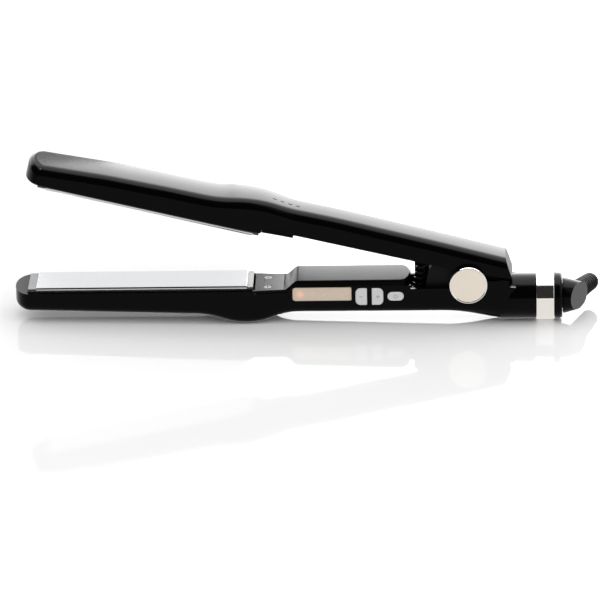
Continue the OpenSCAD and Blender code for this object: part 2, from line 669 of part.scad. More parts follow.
put_lower() lower_casing();
put_lower() grip_cover();
put_lower() lower_shoulder_cover();
put_lower() lower_shoulder_screws();
put_lower() lower_plate();
put_lower() lower_plate_carrier();
put_lower() lower_heater();
put_lower() lower_heat_sensor();
put_lower() lower_float_springs();
put_lower() display_lens();
put_lower() display_module();
put_lower() minus_button();
put_lower() plus_button();
put_lower() power_button();
put_lower() control_board();
put_lower() tact_switches();
put_lower() power_board();
put_lower() hinge_tower();
put_lower() tower_screws();
put_lower() hinge_pin();
put_lower() front_hinge_cap();
put_lower() rear_hinge_cap();
put_lower() arm_spring();
put_lower() tail_sleeve();
put_lower() tail_band();
put_lower() swivel_collar();
put_lower() swivel_cone();
put_lower() swivel_retainer();
put_lower() cord_boot();
put_upper() upper_casing();
put_upper() upper_liner();
put_upper() upper_shoulder_cover();
put_upper() upper_shoulder_screws();
put_upper() upper_plate();
put_upper() upper_plate_carrier();
put_upper() upper_heater();
put_upper() thermal_fuse();
put_upper() upper_float_springs();
put_upper() hinge_bracket();
put_upper() bracket_screws();
put_upper() hinge_bushes();
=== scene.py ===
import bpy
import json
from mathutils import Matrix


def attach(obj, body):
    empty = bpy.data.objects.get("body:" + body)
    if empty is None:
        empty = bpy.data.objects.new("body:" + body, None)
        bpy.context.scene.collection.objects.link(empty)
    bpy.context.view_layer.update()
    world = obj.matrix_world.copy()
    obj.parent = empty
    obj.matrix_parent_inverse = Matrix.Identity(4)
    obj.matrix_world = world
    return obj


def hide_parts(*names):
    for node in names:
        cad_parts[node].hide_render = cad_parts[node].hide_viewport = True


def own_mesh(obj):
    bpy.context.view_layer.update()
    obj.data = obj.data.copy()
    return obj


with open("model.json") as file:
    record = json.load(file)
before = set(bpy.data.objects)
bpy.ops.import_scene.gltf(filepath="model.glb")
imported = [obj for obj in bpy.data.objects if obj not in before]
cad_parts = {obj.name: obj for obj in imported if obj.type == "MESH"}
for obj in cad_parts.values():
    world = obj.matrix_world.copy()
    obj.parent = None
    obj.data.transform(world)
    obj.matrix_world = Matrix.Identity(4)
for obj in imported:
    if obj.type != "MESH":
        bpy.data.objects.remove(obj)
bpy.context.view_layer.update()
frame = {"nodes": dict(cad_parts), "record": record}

import json
import math

import bmesh
import bpy
from mathutils import Matrix, Vector

# ---- Frames: pieces are drawn in millimetres in the arm frame, as in the CAD source ----

# The arm frame has the hinge at its origin, x from tip to tail, y to the back and z = 0 in the
# plane where the arms meet.

MM = 0.001
REST_X = 115
HINGE_Z = 23.1
LIE = math.radians(1.1)
OPEN = math.radians(13.8)
LOWER = Matrix.Translation((REST_X, 0, HINGE_Z)) @ Matrix.Rotation(-LIE, 4, "Y")
UPPER = LOWER @ Matrix.Rotation(OPEN, 4, "Y")
TO_ROW = Matrix.Scale(MM, 4)
QUARTER = math.radians(90)
FAR = 60                    # beyond every face of the part, for cutters
ON_AXIS = 0.001             # the radius that closes a turned profile

ARM_LEN = 237
TIP_X = -229
TIP_LEN = 8
PLATE_HALF = 15.6
GRIP_HALF = 12.4
WALL = 1.8
RIM_Z = 2.4
UPPER_RIM_Z = 2.8
UPPER_SHOULDER_Z = 3.4
GRIP_RIM_Z = 5.1
SEAM_Z = 0.8
PAD_Z = 2.5
SHOULDER_X = -111.4
GRIP_X = -94.5
COVER_X0 = -96.4
SKIRT_X = -92.9
GRIP_END_X = -30.2
END_X = 27
CAVITY_X0 = -230.3
CAVITY_END_X = 19
REAR_WALL_X = 8
REAR_WALL_Y = 8.6
REAR_RIM_Z = 1
CHEEK_R = 8.5
PIN_R = 2.5
TAIL_Z = -11.38
NECK_R = 7.4
ALONG_TAIL = Matrix.Translation((0, 0, TAIL_Z)) @ Matrix.Rotation(QUARTER, 4, "Y")

# (x, distance from the plane where the arms meet, 1 if eased up to the next point)
LOWER_DEPTH = [(-237, 12.5, 0), (-139, 15.8, 1), (-119, 20.82, 0), (-111, 20.97, 1),
               (-93, 15.9, 0), (-9, 16.2, 1), (22, 22.6, 0), (27, 22.6, 0)]
UPPER_HEIGHT = [(-237, 12.8, 0), (-196, 15.3, 0), (-165, 16.2, 0), (-142, 16.5, 1),
                (-118, 19.7, 0), (-112, 19.7, 1), (-97, 17.9, 0), (-76, 18.3, 0),
                (-20, 17.6, 0), (27, 16.6, 0)]
HALF_WIDTH = [(-237, 15.6, 0), (-128, 15.6, 1), (-91, 12.4, 0), (27, 12.4, 0)]
# (x, z) of the line where the lower casing ends and the tail sleeve begins
TAIL_SEAM = [(21.1, 3), (21.3, -2.4), (24.7, -2.7), (24.6, -3.2), (22.2, -6), (20, -10), (18, -15),
             (16.9, -20), (16.4, -26)]


def ease(t):
    return t * t * (3 - 2 * t)


def key_value(keys, x):
    i = 0
    while i < len(keys) - 2 and x >= keys[i + 1][0]:
        i += 1
    a, b = keys[i], keys[i + 1]
    t = min(1, max(0, (x - a[0]) / (b[0] - a[0])))
    return a[1] + (b[1] - a[1]) * (ease(t) if a[2] else t)


def smooth_value(keys, x, reach=5, steps=5):
    """The key curve with its corners rounded: a mean over reach either side."""
    lo, hi = keys[0][0], keys[-1][0]
    near = min(reach, x - lo, hi - x)
    spots = [x + near * (2 * i / (steps - 1) - 1) for i in range(steps)]
    return sum(key_value(keys, s) for s in spots) / steps


# ---- Mesh helpers: each makes an object in millimetres in the arm frame ----

def new_object(name, verts, faces):
    mesh = bpy.data.meshes.new(name)
    mesh.from_pydata([tuple(v) for v in verts], [], faces)
    bm = bmesh.new()
    bm.from_mesh(mesh)
    bmesh.ops.remove_doubles(bm, verts=bm.verts, dist=1e-4)
    bmesh.ops.dissolve_degenerate(bm, edges=bm.edges, dist=1e-5)
    bmesh.ops.recalc_face_normals(bm, faces=bm.faces)
    bm.to_mesh(mesh)
    bm.free()
    obj = bpy.data.objects.new(name, mesh)
    bpy.context.scene.collection.objects.link(obj)
    return obj


def prism(name, loop, lo, hi, axis):
    """A closed loop of 2-D points stretched along axis: (x, z) along Y, or (x, y) along Z."""
    n = len(loop)

    def at(p, h):
        return (p[0], h, p[1]) if axis == "Y" else (p[0], p[1], h)
    verts = [at(p, lo) for p in loop] + [at(p, hi) for p in loop]
    faces = [list(range(n)), list(range(2 * n - 1, n - 1, -1))]
    faces += [[i, (i + 1) % n, n + (i + 1) % n, n + i] for i in range(n)]
    return new_object(name, verts, faces)


def box(x0, x1, y0, y1, z0, z1):
    return prism("cutter", [(x0, y0), (x1, y0), (x1, y1), (x0, y1)], z0, z1, "Z")


def arc(cx, cy, r, start, stop, steps):
    angles = [math.radians(start + (stop - start) * i / steps) for i in range(steps + 1)]
    return [(cx + r * math.cos(a), cy + r * math.sin(a)) for a in angles]


def rounded(x, z, w, h, r, r_right=None, steps=7):
    """A rectangle's outline with corner radius r, and r_right at its +X corners."""
    rr = r if r_right is None else r_right
    return (arc(x + w / 2 - rr, z + h / 2 - rr, rr, 0, 90, steps)
            + arc(x - w / 2 + r, z + h / 2 - r, r, 90, 180, steps)
            + arc(x - w / 2 + r, z - h / 2 + r, r, 180, 270, steps)
            + arc(x + w / 2 - rr, z - h / 2 + rr, rr, 270, 360, steps))


def rod(r, y0, y1, steps=72):
    """A plain rod along the hinge's axis."""
    return prism("cutter", arc(0, 0, r, 0, 360 - 360 / steps, steps - 1), y0, y1, "Y")


def lathe(name, profile, steps=128):
    """Turns a closed (r, z) profile round Z."""
    n = len(profile)
    verts, faces = [], []
    for k in range(steps):
        a = 2 * math.pi * k / steps
        verts += [(r * math.cos(a), r * math.sin(a), z) for r, z in profile]
        for i in range(n):
            j, m = (i + 1) % n, (k + 1) % steps
            faces.append([k * n + i, k * n + j, m * n + j, m * n + i])
    return new_object(name, verts, faces)


def round_cutter(r, lo, hi, steps, place):
    """A plain rod from lo to hi along the place's own Z."""
    made = lathe("cutter", [(ON_AXIS, lo), (r, lo), (r, hi), (ON_AXIS, hi)], steps)
    made.data.transform(place)
    return made


def boolean(obj, cutters, operation="DIFFERENCE"):
    """Cuts obj with each cutter, or joins them, and throws the cutters away."""
    for cutter in cutters:
        mod = obj.modifiers.new("cut", "BOOLEAN")
        mod.operation = operation
        mod.solver = "EXACT"
        mod.object = cutter
        graph = bpy.context.evaluated_depsgraph_get()
        made = bpy.data.meshes.new_from_object(obj.evaluated_get(graph))
        obj.modifiers.clear()
        obj.data = made
        bpy.data.objects.remove(cutter)


END_TURNS = 0.7             # turns at each end of a coil that lie close together
END_RISE = 0.12             # share of the coil's height that climbs evenly, ends included


def coil(name, a, b, coil_r, wire_r, turns, steps=36, sides=12):
    """Round wire wound from point a to point b, with its end turns closed up."""
    a, b = Vector(a), Vector(b)
    axis = (b - a).normalized()
    side = Vector((0, 1, 0)).cross(axis).normalized()
    up = axis.cross(side)
    rings = int(turns * steps)
    ends = END_TURNS / turns
    verts, faces = [], []
    for k in range(rings + 1):
        t = k / rings
        rise = min(1, max(0, (t - ends) / (1 - 2 * ends)))
        along = END_RISE * t + (1 - END_RISE) * rise
        turn = 2 * math.pi * k / steps
        out = side * math.cos(turn) + up * math.sin(turn)
        centre = a + (b - a) * along
        for i in range(sides):
            w = 2 * math.pi * i / sides
            verts.append(centre + out * (coil_r + wire_r * math.cos(w)) + axis * wire_r * math.sin(w))
        if k < rings:
            for i in range(sides):
                j = (i + 1) % sides
                faces.append([k * sides + i, k * sides + j, (k + 1) * sides + j, (k + 1) * sides + i])
    faces.append(list(range(sides)))
    faces.append([rings * sides + i for i in reversed(range(sides))])
    return new_object(name, verts, faces)


MAX_FILLET_SHARE = 0.92     # of the body's height


def rounded_body(name, outline, height, fillet, sag, crown_half, sign, base=0.0, arc_steps=10,
                 crown_steps=8, wall_steps=3):
    """A long body with a crowned outer face and rounded outer edges, open side flat at z = base.
    outline: (x, y, normal x, normal y) of one side, from the middle of its round end.
    height(x): to the outer face. fillet(x, normal y): the outer edge's radius.
    The body lies towards sign * z."""
    def face(px, py):
        return height(px) - sag * (py / crown_half) ** 2

    rows = []
    for x, y, nx, ny in outline:
        r = min(fillet(x, ny), MAX_FILLET_SHARE * height(x))
        lean = math.atan(2 * sag * y / crown_half ** 2 * ny)
        last = math.pi / 2 - lean
        ex, ey = x - nx * r * (1 - math.cos(last)), y - ny * r * (1 - math.cos(last))
        top = face(ex, ey) - r * math.sin(last)
        row = [(x, y, top * i / wall_steps) for i in range(wall_steps)]
        for i in range(arc_steps + 1):
            phi = last * i / arc_steps
            inset = r * (1 - math.cos(phi))
            row.append((x - nx * inset, y - ny * inset, top + r * math.sin(phi)))
        for i in range(1, crown_steps + 1):
            py = ey * (1 - i / crown_steps)
            row.append((ex, py, face(ex, py)))
        rows.append(row)
    m = len(rows[0])
    verts, faces = [], []
    for mirror in (1, -1):
        start = len(verts)
        verts += [(x, y * mirror, base + sign * z) for row in rows for x, y, z in row]
        for i in range(len(rows) - 1):
            for j in range(m - 1):
                k = start + i * m + j
                faces.append([k, k + 1, k + m + 1, k + m])
    half = len(rows) * m
    for i in range(len(rows) - 1):
        faces.append([i * m, (i + 1) * m, half + (i + 1) * m, half + i * m])
    end = (len(rows) - 1) * m
    faces.append([end + j for j in range(m)] + [half + end + j for j in range(m - 2, -1, -1)])
    return new_object(name, verts, faces)


def arm_outline():
    points = []
    for degrees in range(0, 90, 5):
        a = math.radians(degrees)
        nx, ny = -math.cos(a) * PLATE_HALF, math.sin(a) * TIP_LEN
        size = math.hypot(nx, ny)
        points.append((TIP_X - TIP_LEN * math.cos(a), PLATE_HALF * math.sin(a), nx / size, ny / size))
    x = TIP_X
    while x < END_X + 0.01:
        slope = smooth_value(HALF_WIDTH, x + 0.5) - smooth_value(HALF_WIDTH, x - 0.5)
        size = math.hypot(1, slope)
        points.append((x, smooth_value(HALF_WIDTH, x), -slope / size, 1 / size))
        x += 2
    return points


def cavity(keys, sign):
    """The hollow of a casing, from the tip's inside to the tail."""
    xs = [CAVITY_X0] + [TIP_X + 2 * i for i in range(int((CAVITY_END_X - TIP_X) / 2) + 1)]
    n = len(xs)
    verts = []
    for x in xs:
        w = key_value(HALF_WIDTH, x) - WALL
        floor = key_value(keys, x) - WALL
        verts += [(x, -w, sign * floor), (x, w, sign * floor), (x, w, -sign * FAR), (x, -w, -sign * FAR)]
    faces = [[0, 1, 2, 3], [4 * n - 1, 4 * n - 2, 4 * n - 3, 4 * n - 4]]
    for i in range(n - 1):
        for j in range(4):
            k = (j + 1) % 4
            faces.append([4 * i + j, 4 * i + k, 4 * i + 4 + k, 4 * i + 4 + j])
    return new_object("cutter", verts, faces)


# ---- Materials ----

def node(tree, kind, **values):
    made = tree.nodes.new(kind)
    for key, value in values.items():
        if hasattr(made, key):
            setattr(made, key, value)
        else:
            made.inputs[key].default_value = value
    return made


def material(name, base, rough, bump, grain, ior=1.45, metallic=0.0, spread=0.12, stretch=(1, 1, 1),
             smudge=60.0, coat=0.0):
    """Base colour with slight drift, roughness from rough[0] to rough[1] in soft smudges,
    and a fine surface bump of the given height in millimetres and grain per metre."""
    mat = bpy.data.materials.new(name)
    mat.use_nodes = True
    tree = mat.node_tree
    shader = tree.nodes["Principled BSDF"]
    shader.inputs["IOR"].default_value = ior
    shader.inputs["Metallic"].default_value = metallic
    shader.inputs["Coat Weight"].default_value = coat
    shader.inputs["Coat Roughness"].default_value = 0.06
    place = node(tree, "ShaderNodeTexCoord")
    scaled = node(tree, "ShaderNodeMapping", Scale=stretch)
    tree.links.new(place.outputs["Object"], scaled.inputs["Vector"])

    soft = node(tree, "ShaderNodeTexNoise", Scale=smudge, Detail=3.0)
    tree.links.new(place.outputs["Object"], soft.inputs["Vector"])
    rough_map = node(tree, "ShaderNodeMapRange")
    for socket, value in (("From Min", 0.3), ("From Max", 0.7), ("To Min", rough[0]), ("To Max", rough[1])):
        rough_map.inputs[socket].default_value = value
    tree.links.new(soft.outputs["Fac"], rough_map.inputs["Value"])
    tree.links.new(rough_map.outputs["Result"], shader.inputs["Roughness"])

    fine = node(tree, "ShaderNodeTexNoise", Scale=grain, Detail=2.0)
    tree.links.new(scaled.outputs["Vector"], fine.inputs["Vector"])
    ramp = node(tree, "ShaderNodeValToRGB")
    ramp.color_ramp.elements[0].position = 0.3
    ramp.color_ramp.elements[0].color = [c * (1 - spread) for c in base] + [1]
    ramp.color_ramp.elements[1].position = 0.7
    ramp.color_ramp.elements[1].color = [min(1, c * (1 + spread)) for c in base] + [1]
    tree.links.new(fine.outputs["Fac"], ramp.inputs["Fac"])
    tree.links.new(ramp.outputs["Color"], shader.inputs["Base Color"])
    height = node(tree, "ShaderNodeBump", Strength=1.0, Distance=bump * MM)
    tree.links.new(fine.outputs["Fac"], height.inputs["Height"])
    tree.links.new(height.outputs["Normal"], shader.inputs["Normal"])
    return mat


LOOKS = {
    "gloss_black": material("gloss_black", (0.001, 0.001, 0.0012), (0.13, 0.19), 0.0012, 900, ior=1.15),
    "grip_black": material("grip_black", (0.0012, 0.0011, 0.0011), (0.16, 0.22), 0.0012, 900, ior=1.1),
    # the grey for the cone's slanted end is painted reflection: the same gloss black plastic, made lighter
    # where it reflects the bright studio
    "painted_reflection_grey": material("painted_reflection_grey", (0.045, 0.045, 0.047), (0.3, 0.4), 0.006, 4000),
    "satin_black": material("satin_black", (0.004, 0.004, 0.0045), (0.34, 0.46), 0.01, 4000, ior=1.2),
    "carrier_black": material("carrier_black", (0.008, 0.008, 0.0085), (0.2, 0.3), 0.006, 5000,
                              ior=1.8),
    "plate_metal": material("plate_metal", (0.60, 0.61, 0.625), (0.06, 0.10), 0.0004, 300, metallic=1.0,
                            spread=0.03, stretch=(1, 12, 12), smudge=25),
    "dark_steel": material("dark_steel", (0.06, 0.06, 0.063), (0.2, 0.32), 0.004, 6000, metallic=1.0),
    "steel": material("steel", (0.55, 0.55, 0.56), (0.22, 0.34), 0.004, 5000, metallic=1.0),
    "spring_black": material("spring_black", (0.02, 0.02, 0.021), (0.24, 0.36), 0.005, 6000, metallic=0.6),
    "brass": material("brass", (0.72, 0.53, 0.26), (0.2, 0.34), 0.004, 5000, metallic=1.0),
    "ceramic": material("ceramic", (0.78, 0.75, 0.69), (0.4, 0.55), 0.02, 3500),
    "lens": material("lens", (0.60, 0.49, 0.385), (0.10, 0.16), 0.0008, 700, spread=0.03, coat=0.4),
    "display": material("display", (0.16, 0.18, 0.16), (0.3, 0.4), 0.004, 3000),
    "button_silver": material("button_silver", (0.60, 0.60, 0.61), (0.34, 0.44), 0.004, 5000, spread=0.03,
                              metallic=0.25),
    "board": material("board", (0.02, 0.13, 0.06), (0.35, 0.5), 0.01, 2500),
    "champagne": material("champagne", (0.80, 0.72, 0.625), (0.30, 0.38), 0.006, 3800, metallic=0.4,
                          spread=0.05),
    "band_metal": material("band_metal", (0.84, 0.81, 0.775), (0.05, 0.09), 0.0004, 500, metallic=1.0,
                           spread=0.02, stretch=(12, 1, 1)),
    "rubber_black": material("rubber_black", (0.005, 0.005, 0.0055), (0.24, 0.34), 0.01, 3500,
                             ior=1.12),
}
MARK_GREY = material("mark_grey", (0.30, 0.30, 0.31), (0.4, 0.5), 0.003, 4000)


EDGE_ANGLE = math.radians(40)
NORMAL_WEIGHT = 60


def soften(obj, width, segments):
    """Rounds the edges sharper than EDGE_ANGLE by a width in millimetres."""
    mod = obj.modifiers.new("edges", "BEVEL")
    mod.width = width * MM
    mod.segments = segments
    mod.limit_method = "ANGLE"
    mod.angle_limit = EDGE_ANGLE
    return mod


def finish_piece(obj, place, body, slot, replaces=(), sharp=32, bevel=0.0, segments=2, look=None):
    """Carries a piece to its place, rounds and shades it, and ties it to its CAD body."""
    obj.data.transform(TO_ROW @ place)
    obj.data.shade_smooth()
    obj.data.set_sharp_from_angle(angle=math.radians(sharp))
    if bevel:
        mod = soften(obj, bevel, segments)
        mod.use_clamp_overlap = True
        mod.miter_outer = "MITER_ARC"
    mod = obj.modifiers.new("normals", "WEIGHTED_NORMAL")
    mod.keep_sharp = True
    mod.weight = NORMAL_WEIGHT
    obj.data.materials.clear()
    obj.data.materials.append(look or LOOKS[slot])
    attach(obj, body)
    if replaces:
        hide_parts(*replaces)


# ---- CAD nodes that stay: a material by slot, and softened edges where they show ----

# bevel widths in millimetres
SOFT_EDGES = {"lower_shoulder_cover": 0.2, "upper_shoulder_cover": 0.2, "lower_plate": 0.1,
              "upper_plate": 0.1, "lower_plate_carrier": 0.25, "upper_plate_carrier": 0.25,
              "hinge_tower": 0.4, "upper_liner": 0.25, "hinge_bracket": 0.2,
              "control_board": 0.1, "power_board": 0.1, "tail_sleeve": 0.15}
for part in frame["record"]["subparts"]:
    cad = frame["nodes"][part["node"]]
    cad.data.materials.clear()
    cad.data.materials.append(LOOKS[part["material_slot"]])
    width = SOFT_EDGES.get(part["node"])
    if width:
        weld = cad.modifiers.new("weld", "WELD")
        weld.merge_threshold = 1e-6
        soften(cad, width, 3)
        normals = cad.modifiers.new("normals", "WEIGHTED_NORMAL")
        normals.keep_sharp = True

# ---- Casings ----

SAG = 0.45                  # how much lower the outer face lies at CROWN_HALF than in the middle
CROWN_HALF = 11.6
EDGE_R = 4.0                # lower arm's outer edge, growing to TAIL_EDGE_R over TAIL_EDGE_RUN
TAIL_EDGE_R = 9.0
TAIL_EDGE_X = -8
TAIL_EDGE_RUN = 24
TIP_EDGE_R = 3.2            # upper arm's outer edge, at the tip and along the sides
SIDE_EDGE_R = 5.5
outline = arm_outline()


def lower_fillet(x, ny):
    t = min(1, max(0, (x - TAIL_EDGE_X) / TAIL_EDGE_RUN))
    return EDGE_R + (TAIL_EDGE_R - EDGE_R) * ease(t)


def upper_fillet(x, ny):
    return TIP_EDGE_R + (SIDE_EDGE_R - TIP_EDGE_R) * abs(ny)


def lower_depth_from_rim(x):
    """The lower arm's depth below its highest rim, at the rear."""
    return smooth_value(LOWER_DEPTH, x) + REAR_RIM_Z


def upper_height(x):
    return smooth_value(UPPER_HEIGHT, x)


# middle x, middle z, width and height of the things in the front wall
DISPLAY = (-76.4, -5.3, 31.2, 7.8)
POWER = (-38, -6.65, 8.5, 4.7)
STEP_Z, STEP_W, STEP_H, STEP_R = -6.7, 6.0, 9.2, 2.6
STEP_INNER_R = 0.35
MINUS_X, PLUS_X = -55.9, -47.4
GAP = 0.15                  # clearance round a button
LENS_BACK = 1.5 - GRIP_HALF
WALL_BACK = 3 - GRIP_HALF   # past the inside of the front wall


def step_outline(x, direction, grow=0.0):
    """A step button's outline: straight towards its twin, round outside."""
    w, h = STEP_W + 2 * grow, STEP_H + 2 * grow
    right = STEP_INNER_R if direction < 0 else STEP_R
    left = STEP_R if direction < 0 else STEP_INNER_R
    return rounded(x, STEP_Z, w, h, left, right)


def grown(x, z, w, h, grow):
    return x, z, w + 2 * grow, h + 2 * grow


casing = rounded_body("casing_lower", outline, lower_depth_from_rim, lower_fillet, SAG, CROWN_HALF, -1,
                      REAR_RIM_Z)
mouth = round_cutter(NECK_R + 0.1, 10, 40, 96, ALONG_TAIL)
boolean(casing, [
    cavity(LOWER_DEPTH, -1),
    box(-FAR - ARM_LEN, SKIRT_X, -FAR, FAR, -RIM_Z, FAR),
    box(SKIRT_X - 0.01, GRIP_END_X, -FAR, FAR, -SEAM_Z, FAR),
    box(GRIP_END_X - 0.01, REAR_WALL_X, -FAR, FAR, -RIM_Z - 0.3, FAR),
    box(REAR_WALL_X - 0.01, FAR, -REAR_WALL_Y, REAR_WALL_Y, -RIM_Z - 0.3, FAR),
    box(SHOULDER_X - 0.1, GRIP_X + 0.1, -FAR, FAR, -RIM_Z - 1.7, FAR),
    prism("cutter", TAIL_SEAM + [(16.4, -FAR), (FAR, -FAR), (FAR, 3)], -FAR, FAR, "Y"),
    mouth,
    prism("cutter", rounded(*DISPLAY, 1.8, 0.9), -FAR, LENS_BACK, "Y"),
    prism("cutter", rounded(DISPLAY[0], DISPLAY[1], 29.2, 6.2, 1), -FAR, WALL_BACK, "Y"),
    prism("cutter", step_outline(MINUS_X, -1, GAP), -FAR, WALL_BACK, "Y"),
    prism("cutter", step_outline(PLUS_X, 1, GAP), -FAR, WALL_BACK, "Y"),
    prism("cutter", rounded(*grown(*POWER, GAP), POWER[3] / 2 + 0.14), -FAR, WALL_BACK, "Y"),
])
finish_piece(casing, LOWER, "lower_arm", "gloss_black", ["lower_casing"], bevel=0.22)

# the ears that carry the hinge pin
for name, side in (("hinge_ear_front", -1), ("hinge_ear_rear", 1)):
    y0, y1 = sorted((side * (GRIP_HALF - WALL), side * GRIP_HALF))
    ear_loop = arc(0, 0, CHEEK_R, -28, 208, 60) + [(-7.5, -7.5), (7.5, -7.5)]
    ear = prism(name, ear_loop, y0, y1, "Y")
    boolean(ear, [rod(PIN_R, -FAR, FAR)])
    finish_piece(ear, LOWER, "lower_arm", "gloss_black", bevel=0.25)

casing = rounded_body("casing_upper", outline, upper_height, upper_fillet, SAG, CROWN_HALF, 1)
REAR = [(21.9, -FAR), (21.9, 7.3), (15.6, 17.4), (15.6, FAR), (FAR, FAR), (FAR, -FAR)]
GRIP_UNDER = [(GRIP_X - 0.01, -FAR), (GRIP_X - 0.01, GRIP_RIM_Z), (-10, GRIP_RIM_Z + 0.4), (21.9, 7.3),
              (FAR, 7.3), (FAR, -FAR)]
VENT_XS = (-107.9, -103.7, -99.5, -95.3)
upper_hollow = cavity(UPPER_HEIGHT, 1)
# the hollow keeps away from the slanted rear wall
boolean(upper_hollow, [prism("cutter", [(20.2, 7.3), (20.4, 7.3), (FAR, 7.3), (FAR, FAR), (13.8, FAR),
                                        (13.8, 17.4)], -FAR, FAR, "Y")])
boolean(casing, [
    upper_hollow,
    box(-FAR - ARM_LEN, SHOULDER_X, -FAR, FAR, -FAR, UPPER_RIM_Z),
    box(SHOULDER_X - 0.01, GRIP_X, -FAR, FAR, -FAR, UPPER_SHOULDER_Z),
    prism("cutter", GRIP_UNDER, -FAR, FAR, "Y"),
    prism("cutter", REAR, -FAR, FAR, "Y"),
    box(SHOULDER_X - 0.1, GRIP_X + 0.1, -FAR, FAR, -FAR, UPPER_SHOULDER_Z + 1.7),
    rod(CHEEK_R + 0.35, -FAR, FAR),
] + [prism("cutter", rounded(x, -2.85, 2.1, 1.1, 0.5, steps=5), 10, 30, "Z") for x in VENT_XS])
finish_piece(casing, UPPER, "upper_arm", "gloss_black", ["upper_casing"], bevel=0.35, segments=3)

# ---- Grip cover ----

RAMP = 7.6
PAD_EDGE_R = 1.1
PAD_SAG = 0.25
PAD_START = 0.05            # the cover's height where its ramp begins
PAD_END_LEN = 4.5
PAD_END_X = GRIP_END_X - PAD_END_LEN
PAD_STEPS = 14


def pad_fillet(x, ny):
    return PAD_EDGE_R


def pad_height(x):
    t = min(1, max(0, (x - COVER_X0) / RAMP))
    return PAD_START + (PAD_Z + RIM_Z - PAD_START) * ease(t)


pad_outline = []
for degrees in range(0, 90, 6):
    angle = math.radians(degrees)
    nx, ny = math.cos(angle) / PAD_END_LEN, math.sin(angle) / GRIP_HALF
    size = math.hypot(nx, ny)
    pad_outline.append((PAD_END_X + PAD_END_LEN * math.cos(angle), GRIP_HALF * math.sin(angle),
                        nx / size, ny / size))
pad_flat = PAD_END_X - COVER_X0 - RAMP
pad_outline += [(PAD_END_X - pad_flat * i / PAD_STEPS, GRIP_HALF, 0, 1) for i in range(PAD_STEPS)]
pad_outline += [(COVER_X0 + RAMP * (1 - i / PAD_STEPS), GRIP_HALF, 0, 1) for i in range(PAD_STEPS + 1)]
cover = rounded_body("cover_grip", pad_outline, pad_height, pad_fillet, PAD_SAG, GRIP_HALF - PAD_EDGE_R,
                     1, -RIM_Z, arc_steps=6, crown_steps=6, wall_steps=2)
boolean(cover, [box(COVER_X0 + RAMP, PAD_END_X, WALL - GRIP_HALF, GRIP_HALF - WALL, -FAR, PAD_Z - WALL),
                box(SKIRT_X + 0.1, FAR, -FAR, FAR, -FAR, -SEAM_Z)])
finish_piece(cover, LOWER, "lower_arm", "gloss_black", ["grip_cover"], look=LOOKS["grip_black"])

# ---- Display and buttons ----

LENS_FRONT = 0.5 - GRIP_HALF
lens_loop = rounded(DISPLAY[0], DISPLAY[1], DISPLAY[2] - 0.2, DISPLAY[3] - 0.2, 1.7, 0.8)
lens = prism("lens_display", lens_loop, LENS_FRONT, LENS_BACK, "Y")
GLOW_SPOT = LOWER @ Vector((-87.9, LENS_FRONT, DISPLAY[1]))
lens_look = LOOKS["lens"]


def add_glow(mat, spot, reach, colour, strength):
    """A soft warm patch of light behind the lens, from distance to a point on the part."""
    tree = mat.node_tree
    shader = tree.nodes["Principled BSDF"]
    place = node(tree, "ShaderNodeTexCoord")
    away = node(tree, "ShaderNodeVectorMath", operation="DISTANCE")
    away.inputs[1].default_value = spot
    tree.links.new(place.outputs["Object"], away.inputs[0])
    fade = node(tree, "ShaderNodeMapRange", interpolation_type="SMOOTHSTEP")
    for socket, value in (("From Min", 0.0), ("From Max", reach), ("To Min", strength), ("To Max", 0.0)):
        fade.inputs[socket].default_value = value
    tree.links.new(away.outputs["Value"], fade.inputs["Value"])
    tree.links.new(fade.outputs["Result"], shader.inputs["Emission Strength"])
    shader.inputs["Emission Color"].default_value = (*colour, 1)


add_glow(lens_look, GLOW_SPOT * MM, 3.2 * MM, (1.0, 0.16, 0.10), 0.3)
finish_piece(lens, LOWER, "lower_arm", "lens", ["display_lens"], bevel=0.28, segments=3)

BUTTON_Y = -GRIP_HALF - 0.3
BUTTON_BACK = -GRIP_HALF + 3.3
for name, loop, body, old in (
        ("key_minus", step_outline(MINUS_X, -1), "minus_key", "minus_button"),
        ("key_plus", step_outline(PLUS_X, 1), "plus_key", "plus_button"),
        ("key_power", rounded(*POWER, POWER[3] / 2 - 0.01), "power_key", "power_button")):
    key = prism(name, loop, BUTTON_Y, BUTTON_BACK, "Y")
    finish_piece(key, LOWER, body, "button_silver", [old], bevel=0.45, segments=4, sharp=50)

MARK_RISE = 0.03


def mark(name, loops, body):
    """Small printed signs, a hair proud of the button."""
    parts = [prism(name, loop, BUTTON_Y - MARK_RISE, BUTTON_Y + 0.1, "Y") for loop in loops]
    boolean(parts[0], parts[1:], "UNION")
    finish_piece(parts[0], LOWER, body, "button_silver", look=MARK_GREY)


mark("mark_minus", [rounded(MINUS_X - 0.2, STEP_Z, 2.0, 0.42, 0.15)], "minus_key")
mark("mark_plus", [rounded(PLUS_X + 0.2, STEP_Z, 2.0, 0.42, 0.15),
                   rounded(PLUS_X + 0.2, STEP_Z, 0.42, 2.0, 0.15)], "plus_key")
ring = (arc(POWER[0], POWER[1], 1.15, 130, 410, 32) + arc(POWER[0], POWER[1], 0.82, 410, 130, 32))
mark("mark_power", [ring, rounded(POWER[0], POWER[1] + 0.85, 0.34, 1.3, 0.12)], "power_key")

# ---- Hinge caps: a satin face inside a bright rim ----

